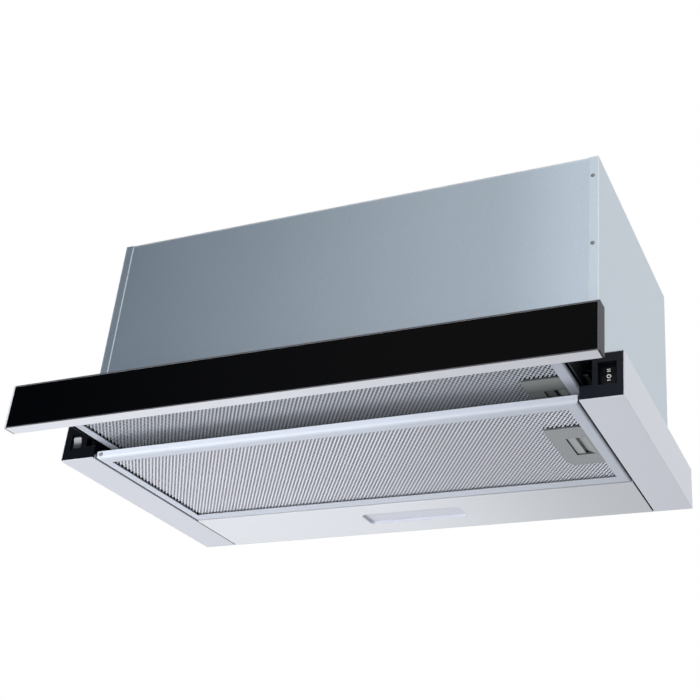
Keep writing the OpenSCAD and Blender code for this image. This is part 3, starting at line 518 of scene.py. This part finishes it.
def shade_gaps(finish, reach):
    """Darkens a finish where another surface stands closer than the reach (in metres)."""
    tree = finish.node_tree
    base_color = tree.nodes["Principled BSDF"].inputs["Base Color"]
    colour = base_color.links[0].from_socket
    open_air = tree.nodes.new("ShaderNodeAmbientOcclusion")
    open_air.samples = 8
    open_air.inputs["Distance"].default_value = reach
    opened = math_node(tree, "SUBTRACT", open_air.outputs["AO"], GAP_OPEN)
    opened = math_node(tree, "DIVIDE", opened, GAP_REACH)
    opened = math_node(tree, "MAXIMUM", opened, 0.0)
    opened = math_node(tree, "MINIMUM", opened, 1.0)
    tree.links.new(mix_colours(tree, opened, linear(*GAP_TONE), colour), base_color)


# %% [markdown]
# The housing is zinc-coated sheet. Its coat has a fine frost of crystals, so the finish is nearly
# all metal, with a cool grey colour and a speckled tone. The right side catches more light than the
# front from the side lamps, and its finish is also painted lighter, as painted light; its narrow
# front flange, at the very front of its box, is painted lighter still. The panels that share the
# front's finish are painted lighter toward their right ends, and the folded edges carry a strong
# painted highlight.

# %% Housing finishes
FROST = (1, 1, 0.35)
# FOLD: the bevel radius, and a strong painted highlight along the folded edges.
FOLD = (0.0018, 4.0)

housing_steel = new_finish("housing_steel", (172, 183, 193), 0.36, metallic=0.9,
                           grain=(1400, FROST, 0.7), bump=0.08, clouds=(5, 0.24),
                           edge=FOLD, edge_highlight_colour=(248, 251, 255))
left_steel = new_finish("left_side_steel", (172, 183, 193), 0.36, metallic=0.9,
                        grain=(1400, FROST, 0.7), bump=0.08, clouds=(5, 0.24),
                        edge=FOLD, edge_highlight_colour=(248, 251, 255))
side_steel = new_finish("side_steel", (188, 199, 208), 0.42, metallic=0.7,
                        grain=(1400, FROST, 0.5), bump=0.06, clouds=(5, 0.2),
                        edge=FOLD, edge_highlight_colour=(252, 254, 255))
# Painted light: the panels grow lighter toward their right ends, and the side panel's front flange
# lighter still.
fade_along(housing_steel, "X", start=0.8, end=1.0, times=1.3)
fade_along(side_steel, "Y", start=0.004, end=0.001, times=1.15)
dress(housing_steel, "front_panel", "back_panel", "top_panel")
dress(left_steel, "left_side_panel")
dress(side_steel, "right_side_panel")

# %% [markdown]
# The tray carries a smooth silver paint, which is paler than the zinc and slightly violet. The
# lamp's panel is the same paint, painted a little paler as painted light, and it is painted darker
# toward its right end, as painted shade.

# %% Tray finishes
tray_steel = new_finish("tray_steel", (205, 208, 217), 0.36, metallic=0.3,
                        grain=(1800, EVEN, 0.12), bump=0.02, clouds=(5, 0.12),
                        edge=(0.0010, 2.0), edge_highlight_colour=(240, 242, 248))
panel_steel = new_finish("panel_steel", (222, 225, 231), 0.36, metallic=0.3,
                         grain=(1800, EVEN, 0.12), bump=0.02, clouds=(5, 0.12),
                         edge=(0.0010, 2.0), edge_highlight_colour=(246, 248, 252))
# Painted shade: the lamp's panel darkens toward its right end.
fade_along(panel_steel, "X", start=0.45, end=1.0, times=0.72)
dress(tray_steel, "left_base_channel", "right_base_channel")
dress(panel_steel, "lamp_panel")

# %% [markdown]
# Small steel parts differ in age and coat: bright zinc on brackets, screws and springs, dull
# rivets, painted motor sheet, and dark runners and rails, with a painted highlight on their edges.

# %% Steel parts
zinc_steel = new_finish("zinc_steel", (172, 176, 182), 0.34, metallic=0.9,
                        grain=(700, EVEN, 0.4), bump=0.05)
# Rails and runners are dark, with a painted highlight on their edges.
rail_steel = new_finish("rail_steel", (7, 8, 11), 0.4, metallic=0.1, specular=0.2,
                        grain=(900, (0.2, 1, 1), 0.3), bump=0.03, edge=(0.0004, 0.4),
                        edge_highlight_colour=(70, 75, 82))
runner_steel = new_finish("runner_steel", (20, 22, 26), 0.4, metallic=0.3, specular=0.3,
                          grain=(700, EVEN, 0.3), bump=0.03, edge=(0.0005, 1.6),
                          edge_highlight_colour=(205, 208, 212))
rivet_steel = new_finish("rivet_steel", (126, 131, 139), 0.4, metallic=0.7, edge=(0.0006, 1.0),
                         edge_highlight_colour=(190, 194, 200))
pale_rivet = new_finish("pale_rivet", (150, 153, 160), 0.4, metallic=0.4, edge=(0.0006, 1.0),
                        edge_highlight_colour=(205, 208, 214))
motor_steel = new_finish("motor_steel", (120, 125, 130), 0.45, metallic=0.6)
dress(zinc_steel, "lamp_module", "runner_brackets", "motor_bracket", "impeller_shaft",
      "switch_lever", "collar_screws", "filter_latch_spring", "drawer_latch_spring",
      "handle_screws")
dress(runner_steel, "left_runner", "right_runner")
dress(rivet_steel, "housing_screws")
dress(pale_rivet, "filter_rivets", "drawer_filter_rivets")
dress(rail_steel, "left_rail", "right_rail", "drawer_rear_bar")
dress(motor_steel, "motor")

# %% [markdown]
# The handle is an extruded bar of satin aluminium, drawn along its length, so its grain is
# stretched along X. The filters' rims are rolled from the same metal, and their front lips are
# painted paler, as painted light from the front. The handle's front rim is darker than its
# underside.

# %% Aluminium bar and rims
handle_aluminium = new_finish("handle_aluminium", (216, 218, 226), 0.4, metallic=0.35,
                              grain=(900, (0.03, 1, 1), 0.3), bump=0.03, edge=(0.0003, 0.5),
                              edge_highlight_colour=(240, 242, 245), facing=("Y", -1.0, (84, 84, 88)))
filter_aluminium = new_finish("filter_aluminium", (200, 206, 218), 0.5, metallic=0.12,
                              grain=(1100, (0.15, 0.5, 1), 0.2), bump=0.02, edge=(0.0008, 0.4),
                              edge_highlight_colour=(232, 236, 243), facing=("Y", -1.0, (216, 222, 233)))
# Painted shade: the rims darken in their narrow gaps and toward their right ends, and the handle
# toward its right end.
shade_gaps(filter_aluminium, reach=0.008)
fade_along(filter_aluminium, "X", start=0.55, end=1.0, times=0.88)
fade_along(handle_aluminium, "X", start=0.4, end=1.0, times=0.82)
dress(handle_aluminium, "drawer_handle")
dress(filter_aluminium, "filter_frame", "drawer_filter_frame")

# %% [markdown]
# The mesh is bright aluminium. Light from below reaches the first layer and little of the next two,
# so those are painted dark below, as painted shade, and pale on top. The drawer's mesh is painted
# darker than the lower one, as it lies deeper in shade.

# %% Aluminium mesh
MESH_GRAIN = (600, EVEN, 0.4)
NO_EDGE = (0.0002, 0.0)
PALE_ABOVE = ("Z", 1.0, (196, 199, 208))

mesh_aluminium = new_finish("mesh_aluminium", (229, 231, 241), 0.38, metallic=0.3,
                            grain=MESH_GRAIN, bump=0.03, edge=NO_EDGE)
# Painted shade: the deeper layers are dark below and pale on top, and the drawer's mesh is darker
# than the lower one.
mesh_shade = new_finish("mesh_shade", (34, 36, 48), 0.5, metallic=0.1,
                        grain=MESH_GRAIN, bump=0.03, edge=NO_EDGE, facing=PALE_ABOVE)
drawer_mesh = new_finish("drawer_mesh", (204, 208, 217), 0.38, metallic=0.3,
                         grain=MESH_GRAIN, bump=0.03, edge=NO_EDGE)
drawer_shade = new_finish("drawer_mesh_shade", (84, 88, 100), 0.5, metallic=0.3,
                          grain=MESH_GRAIN, bump=0.03, edge=NO_EDGE, facing=PALE_ABOVE)
dress(mesh_aluminium, "filter_mesh")
dress(drawer_mesh, "drawer_filter_mesh")

# %% [markdown]
# Moulded plastic shows a fine spark-eroded grain. The two front covers and the switches are black,
# with a painted highlight on their edges, and the left cover is painted darker still, as painted
# shade. The small lamp rocker is grey, and most of it lies in the shade of its window, so it is
# painted darker toward its bottom, as painted shade.

# %% Covers and switches
black_plastic = new_finish("black_plastic", (16, 20, 28), 0.5, grain=(1500, EVEN, 0.4),
                           bump=0.06, edge=(0.0006, 1.0), edge_highlight_colour=(50, 57, 68), specular=0.2)
shaded_cover_black = new_finish("shaded_cover_black", (8, 11, 16), 0.5, grain=(1500, EVEN, 0.4),
                         bump=0.06, edge=(0.0006, 1.0), edge_highlight_colour=(34, 40, 50), specular=0.06)
switch_black = new_finish("switch_black", (8, 9, 12), 0.35, grain=(1200, EVEN, 0.3),
                          bump=0.02, edge=(0.0006, 1.2), edge_highlight_colour=(84, 91, 100), specular=0.12)
rocker_grey = new_finish("lamp_rocker_grey", (160, 164, 170), 0.3, grain=(1200, EVEN, 0.2),
                         bump=0.02, edge=(0.0005, 0.6))
# Painted shade: the rocker darkens toward its bottom.
fade_along(rocker_grey, "Z", start=0.85, end=0.15, times=0.08)
dress(black_plastic, "right_front_cover", "terminal_box", "outlet_plate", "outlet_collar",
      "flap_seat", "cable_gland", "drawer_switch")
dress(shaded_cover_black, "left_front_cover")
dress(switch_black, "speed_switch_body", "speed_rocker", "lamp_switch_body")
dress(rocker_grey, "lamp_rocker")

# %% [markdown]
# The lamp's lens is milky and smooth. Behind it, out of sight, the blower's casing is dark,
# while its wheel, the flaps, the capacitor and the glides are pale.

# %% Lens and blower
lens_plastic = new_finish("lens_plastic", (205, 208, 219), 0.3, grain=(900, EVEN, 0.1),
                          bump=0.02, edge=(0.0010, 1.0), edge_highlight_colour=(246, 247, 250))
blower_plastic = new_finish("blower_plastic", (62, 66, 72), 0.5, bump=0.05)
impeller_plastic = new_finish("impeller_plastic", (168, 171, 175), 0.42, bump=0.04)
flap_plastic = new_finish("flap_plastic", (196, 198, 200), 0.42, bump=0.04)
white_plastic = new_finish("white_plastic", (224, 224, 219), 0.4, bump=0.03)
dress(lens_plastic, "lamp_lens")
dress(blower_plastic, "blower_casing_left", "blower_casing_right")
dress(impeller_plastic, "impeller")
dress(flap_plastic, "front_flap", "rear_flap")
dress(white_plastic, "run_capacitor", "rail_glides")

# %% [markdown]
# The latch plates are a warm grey. Each has a well for the finger, with painted shade in its
# corners, and a paler bar across it. The drawer's latch lies deeper under the hood, so its plate
# and bar are painted darker, as painted shade.

# %% Latches
LATCH_GRAIN = (1500, EVEN, 0.3)

latch_plastic = new_finish("latch_plastic", (144, 147, 149), 0.5, grain=LATCH_GRAIN, bump=0.06,
                           clouds=(12, 0.3), edge=(0.0006, 0.7), edge_highlight_colour=(196, 199, 197))
latch_bar = new_finish("latch_bar", (158, 161, 161), 0.4, grain=LATCH_GRAIN, bump=0.06,
                       edge=(0.0008, 1.0), edge_highlight_colour=(205, 208, 208))
drawer_latch = new_finish("drawer_latch_plastic", (130, 134, 133), 0.5, grain=LATCH_GRAIN,
                          bump=0.06, clouds=(12, 0.3), edge=(0.0006, 0.7),
                          edge_highlight_colour=(170, 173, 171))
drawer_bar = new_finish("drawer_latch_bar", (110, 112, 112), 0.4, grain=LATCH_GRAIN, bump=0.06,
                        edge=(0.0008, 1.0), edge_highlight_colour=(150, 152, 152))
# Painted shade in the finger wells, where another surface stands close.
shade_gaps(latch_plastic, reach=0.012)
shade_gaps(drawer_latch, reach=0.012)
dress(latch_plastic, "filter_latch_plate")
dress(latch_bar, "filter_latch_slider")
dress(drawer_latch, "drawer_latch_plate")
dress(drawer_bar, "drawer_latch_slider")

# %% [markdown]
# A thin moulded cap closes each end of the handle. Both are the same plastic: the left one catches
# the front light and is painted pale, as painted light, and the right one stands in shade and is
# painted dark, as painted shade. Their front faces are painted paler.

# %% End caps
cap_plastic = new_finish("cap_plastic", (34, 36, 41), 0.4, bump=0.03, edge=(0.0005, 1.0),
                         edge_highlight_colour=(150, 152, 157), specular=0.12,
                         facing=("Y", -1.0, (88, 90, 96)))
cap_painted_lit = new_finish("cap_painted_lit", (128, 130, 135), 0.35, bump=0.03, edge=(0.0004, 0.8),
                      edge_highlight_colour=(216, 218, 222), facing=("Y", -1.0, (196, 198, 203)))
dress(cap_painted_lit, "left_end_cap")
dress(cap_plastic, "right_end_cap")

# %% [markdown]
# The glass strip is painted black on its back. What shows is the black paint under a clear,
# polished face, so a dark base with a low roughness is enough, and no refraction is needed.

# %% Glass finish
black_glass = new_finish("black_glass", (2, 2, 3), 0.06, grain=(400, EVEN, 0.1), bump=0.0,
                         clouds=(4, 0.2), rough_range=0.02, edge=(0.0004, 0.5),
                         edge_highlight_colour=(60, 64, 70), specular=0.05)
dress(black_glass, "handle_glass")


# %% [markdown]
# A grease filter is a stack of expanded aluminium: sheet that was slit and pulled until the
# slits opened into diamonds. Seen at a slant, the strands of one slope join into long pale
# ribbons, and those of the other slope are short bridges between them. So a layer is built
# in these two parts. A ribbon rises and falls a little at every crossing, which is what
# makes it sparkle, and the bridges lie deeper, in its shade.

# %% Where a strand may run
RUN_STEP = 0.5  # mm between the places that are tried along a ribbon
SHORTEST_RUN = 1


def in_plate(x, y, plate):
    """Tells whether a point lies on the latch plate, whose two free corners are round."""
    x0, y0, y1, front_r, rear_r = plate
    if x < x0 or not y0 < y < y1:
        return False
    for corner_y, radius in ((y0 + front_r, front_r), (y1 - rear_r, rear_r)):
        beyond = y < corner_y if corner_y < (y0 + y1) / 2 else y > corner_y
        if beyond and x < x0 + radius:
            return math.hypot(x - x0 - radius, y - corner_y) < radius
    return True


def ribbon_runs(start_x, slant, window, plate):
    """Cuts one slanted line into the stretches that lie in the window and off the plate."""
    x0, x1, y0, y1 = window
    runs, run = [], None
    steps = int((y1 - y0) / RUN_STEP)
    for k in range(steps + 1):
        y = y0 + (y1 - y0) * k / steps
        x = start_x + slant * (y - y0)
        if x0 <= x <= x1 and not in_plate(x, y, plate):
            run = (run[0], y) if run else (y, y)
        elif run:
            runs.append(run)
            run = None
    return [r for r in runs + ([run] if run else []) if r[1] - r[0] > SHORTEST_RUN]


# %% Bar of metal
MM = 1000  # millimetres in a metre


def add_bar(points, faces, path, across, up):
    """Carries a four-cornered section along a path (mm) and closes its ends."""
    corners = [(across[0] * a + up[0] * b, across[1] * a + up[1] * b)
               for a, b in ((-1, -1), (1, -1), (1, 1), (-1, 1))]
    start = len(points)
    for x, y, z in path:
        points += [((x + dx) / MM, y / MM, (z + dz) / MM) for dx, dz in corners]
    for ring in range(len(path) - 1):
        for side in range(4):
            a = start + ring * 4 + side
            b = start + ring * 4 + (side + 1) % 4
            faces.append((a, b, b + 4, a + 4))
    end = start + (len(path) - 1) * 4
    faces += [(start + 3, start + 2, start + 1, start), (end, end + 1, end + 2, end + 3)]


# %% Strands of one ribbon
WAVE = 0.3  # mm that a ribbon rises or falls at a crossing
BRIDGE_STEP = 3.0
BRIDGE_DEEPER = 0.55  # mm above the ribbons, which is deeper for someone who looks up
BRIDGE_ACROSS = (0.4, 0.14)
BRIDGE_UP = (-0.04, 0.14)


def add_ribbon(points, faces, index, line, run, section, window, plate):
    """Adds one stretch of ribbon and the bridges that leave it (all in mm)."""
    start_x, slant, height = line
    low_y, high_y = run
    x0, x1, y0, _ = window
    k0 = int((low_y - y0) / BRIDGE_STEP) + 1
    k1 = int((high_y - y0) / BRIDGE_STEP)
    stops = [low_y] + [y0 + k * BRIDGE_STEP for k in range(k0, k1 + 1)] + [high_y]
    path = []
    for n, y in enumerate(stops):
        rise = WAVE * (1 if (n + index) % 2 else -1)
        path.append((start_x + slant * (y - y0), y, height + rise))
    add_bar(points, faces, path, *section)
    deep = height + BRIDGE_DEEPER
    for y in stops[1:-2]:
        x = start_x + slant * (y - y0)
        end_x, end_y = x - slant * BRIDGE_STEP, y + BRIDGE_STEP
        if x0 < end_x < x1 and not in_plate(end_x, end_y, plate):
            add_bar(points, faces, [(x, y, deep), (end_x, end_y, deep)], BRIDGE_ACROSS, BRIDGE_UP)


# %% [markdown]
# Each layer is one mesh of its own. It leans its ribbons a little, as pulled metal does, and
# it takes the place of the plain sheet that stands for the mesh in the solids.

# %% Expanded layer
RIBBON_SLANT = -0.70  # mm sideways for each mm toward the wall
RIBBON_PITCH = 4.2
SHEET = 0.35


def expanded_layer(name, window, height, body, node, plate, finish, width=2.0,
                   slant=RIBBON_SLANT, lean=12):
    """Builds one layer in a window (mm) from slanted ribbons and the bridges between them."""
    x0, x1, y0, y1 = window
    angle = math.radians(lean)
    section = ((width / 2 * math.cos(angle), width / 2 * math.sin(angle)),
               (-SHEET / 2 * math.sin(angle), SHEET / 2 * math.cos(angle)))
    points, faces = [], []
    reach = abs(slant) * (y1 - y0)
    first = x0 - (0 if slant < 0 else reach)
    for index in range(int((x1 - x0 + reach) / RIBBON_PITCH) + 1):
        start_x = first + (index + 0.5) * RIBBON_PITCH
        for run in ribbon_runs(start_x, slant, window, plate):
            add_ribbon(points, faces, index, (start_x, slant, height), run, section, window,
                       plate)
    mesh = bpy.data.meshes.new(name)
    mesh.from_pydata(points, [], faces)
    mesh.materials.append(finish)
    layer = bpy.data.objects.new(name, mesh)
    bpy.context.scene.collection.objects.link(layer)
    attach(layer, body)
    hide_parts(node)
    print(name, len(faces), "faces")


# %% Filter layers
RIM = 8  # mm of the mesh's edge that the rim covers
PLATE_GAP = 0.2
PLATE_CORNERS = (4, 10)
LOW_LIFT, MID_LIFT, TOP_DROP = 1.5, 3.2, 0.7


def filter_layers(label, body, mesh_node, plate_node, finish, shade):
    """Fills a cassette with three layers: the first pale, the next two with painted shade below."""
    low, high = [[v * MM for v in corner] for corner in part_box(mesh_node)]
    plate_low, plate_high = [[v * MM for v in corner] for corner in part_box(plate_node)]
    plate = (plate_low[0] - PLATE_GAP, plate_low[1] - PLATE_GAP, plate_high[1] + PLATE_GAP,
             *PLATE_CORNERS)
    window = (low[0] + RIM, high[0] - RIM, low[1] + RIM, high[1] - RIM)
    expanded_layer(label + "_mesh_low", window, low[2] + LOW_LIFT, body, mesh_node, plate,
                   finish)
    expanded_layer(label + "_mesh_mid", window, low[2] + MID_LIFT, body, mesh_node, plate,
                   shade, width=3.4, slant=-RIBBON_SLANT, lean=-20)
    expanded_layer(label + "_mesh_top", window, high[2] - TOP_DROP, body, mesh_node, plate,
                   shade, width=2.8)


filter_layers("lower", "lower_filter", "filter_mesh", "filter_latch_plate", mesh_aluminium,
              mesh_shade)
filter_layers("drawer", "drawer", "drawer_filter_mesh", "drawer_latch_plate", drawer_mesh,
              drawer_shade)

# %% [markdown]
# A small coil spring pushes each latch shut, and drawing the latch back squeezes it. A copy of each
# coil, with a mesh of its own, stands in for it on the filter's body, and the solid is hidden.


def latch_spring(label, body, node):
    """Copies a spring's solid onto a body, gives the copy a mesh of its own, and hides the solid.
    """
    spring = bpy.data.objects.new(label, nodes[node].data.copy())
    spring.matrix_world = nodes[node].matrix_world.copy()
    bpy.context.scene.collection.objects.link(spring)
    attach(spring, body)
    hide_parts(node)
    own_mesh(spring)


latch_spring("lower_coil", "lower_filter", "filter_latch_spring")
latch_spring("drawer_coil", "drawer", "drawer_latch_spring")

# %% [markdown]
# The speed switch has three places: fast, off and slow. Its rocker carries a mark for each,
# printed in white on the shallow hollow of its face, and the marks ride on the rocker. Each
# mark is a thin patch just proud of the face, because a bump would be lost at this size.

# %% Rocker face
rocker_low, rocker_high = [[v * MM for v in corner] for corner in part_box("speed_rocker")]
MID_X, MID_Z = [(rocker_low[axis] + rocker_high[axis]) / 2 for axis in (0, 2)]
ROCKER_HALF = (rocker_high[2] - rocker_low[2]) / 2
ROCKER_FACE = rocker_low[1] / MM
HOLLOW_DEPTH = 1.0
PRINT_HEIGHT = 0.06


def add_patch(points, faces, corners):
    """Adds one four-cornered patch on the rocker's face; corners are (x, z) in mm."""
    start = len(points)
    for x, z in corners:
        hollow = HOLLOW_DEPTH - abs(z - MID_Z) / ROCKER_HALF
        points.append((x / MM, ROCKER_FACE + (hollow - PRINT_HEIGHT) / MM, z / MM))
    faces.append((start, start + 1, start + 2, start + 3))


print("rocker", round(2 * ROCKER_HALF, 1), "mm high")

# %% Rocker marks
BAR_PLACES = (-4.6, 4.2, 6.0)
BAR_HALF = (1.6, 0.45)
RING_LOW = 0.6
RING_IN, RING_OUT = 1.2, 2.1
RING_PARTS = 16

points, faces = [], []
half_x, half_z = BAR_HALF
for z in (MID_Z + place for place in BAR_PLACES):
    add_patch(points, faces, [(MID_X - half_x, z - half_z), (MID_X + half_x, z - half_z),
                              (MID_X + half_x, z + half_z), (MID_X - half_x, z + half_z)])
for k in range(RING_PARTS):
    a, b = math.tau * k / RING_PARTS, math.tau * (k + 1) / RING_PARTS
    add_patch(points, faces, [(MID_X + r * math.cos(t), MID_Z - RING_LOW + r * math.sin(t))
                              for r, t in ((RING_IN, a), (RING_OUT, a), (RING_OUT, b),
                                           (RING_IN, b))])
marks_mesh = bpy.data.meshes.new("rocker_marks")
marks_mesh.from_pydata(points, [], faces)
marks_mesh.materials.append(white_plastic)
marks = bpy.data.objects.new("rocker_marks", marks_mesh)
bpy.context.scene.collection.objects.link(marks)
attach(marks, "speed_rocker")
print("rocker marks", len(faces), "faces")
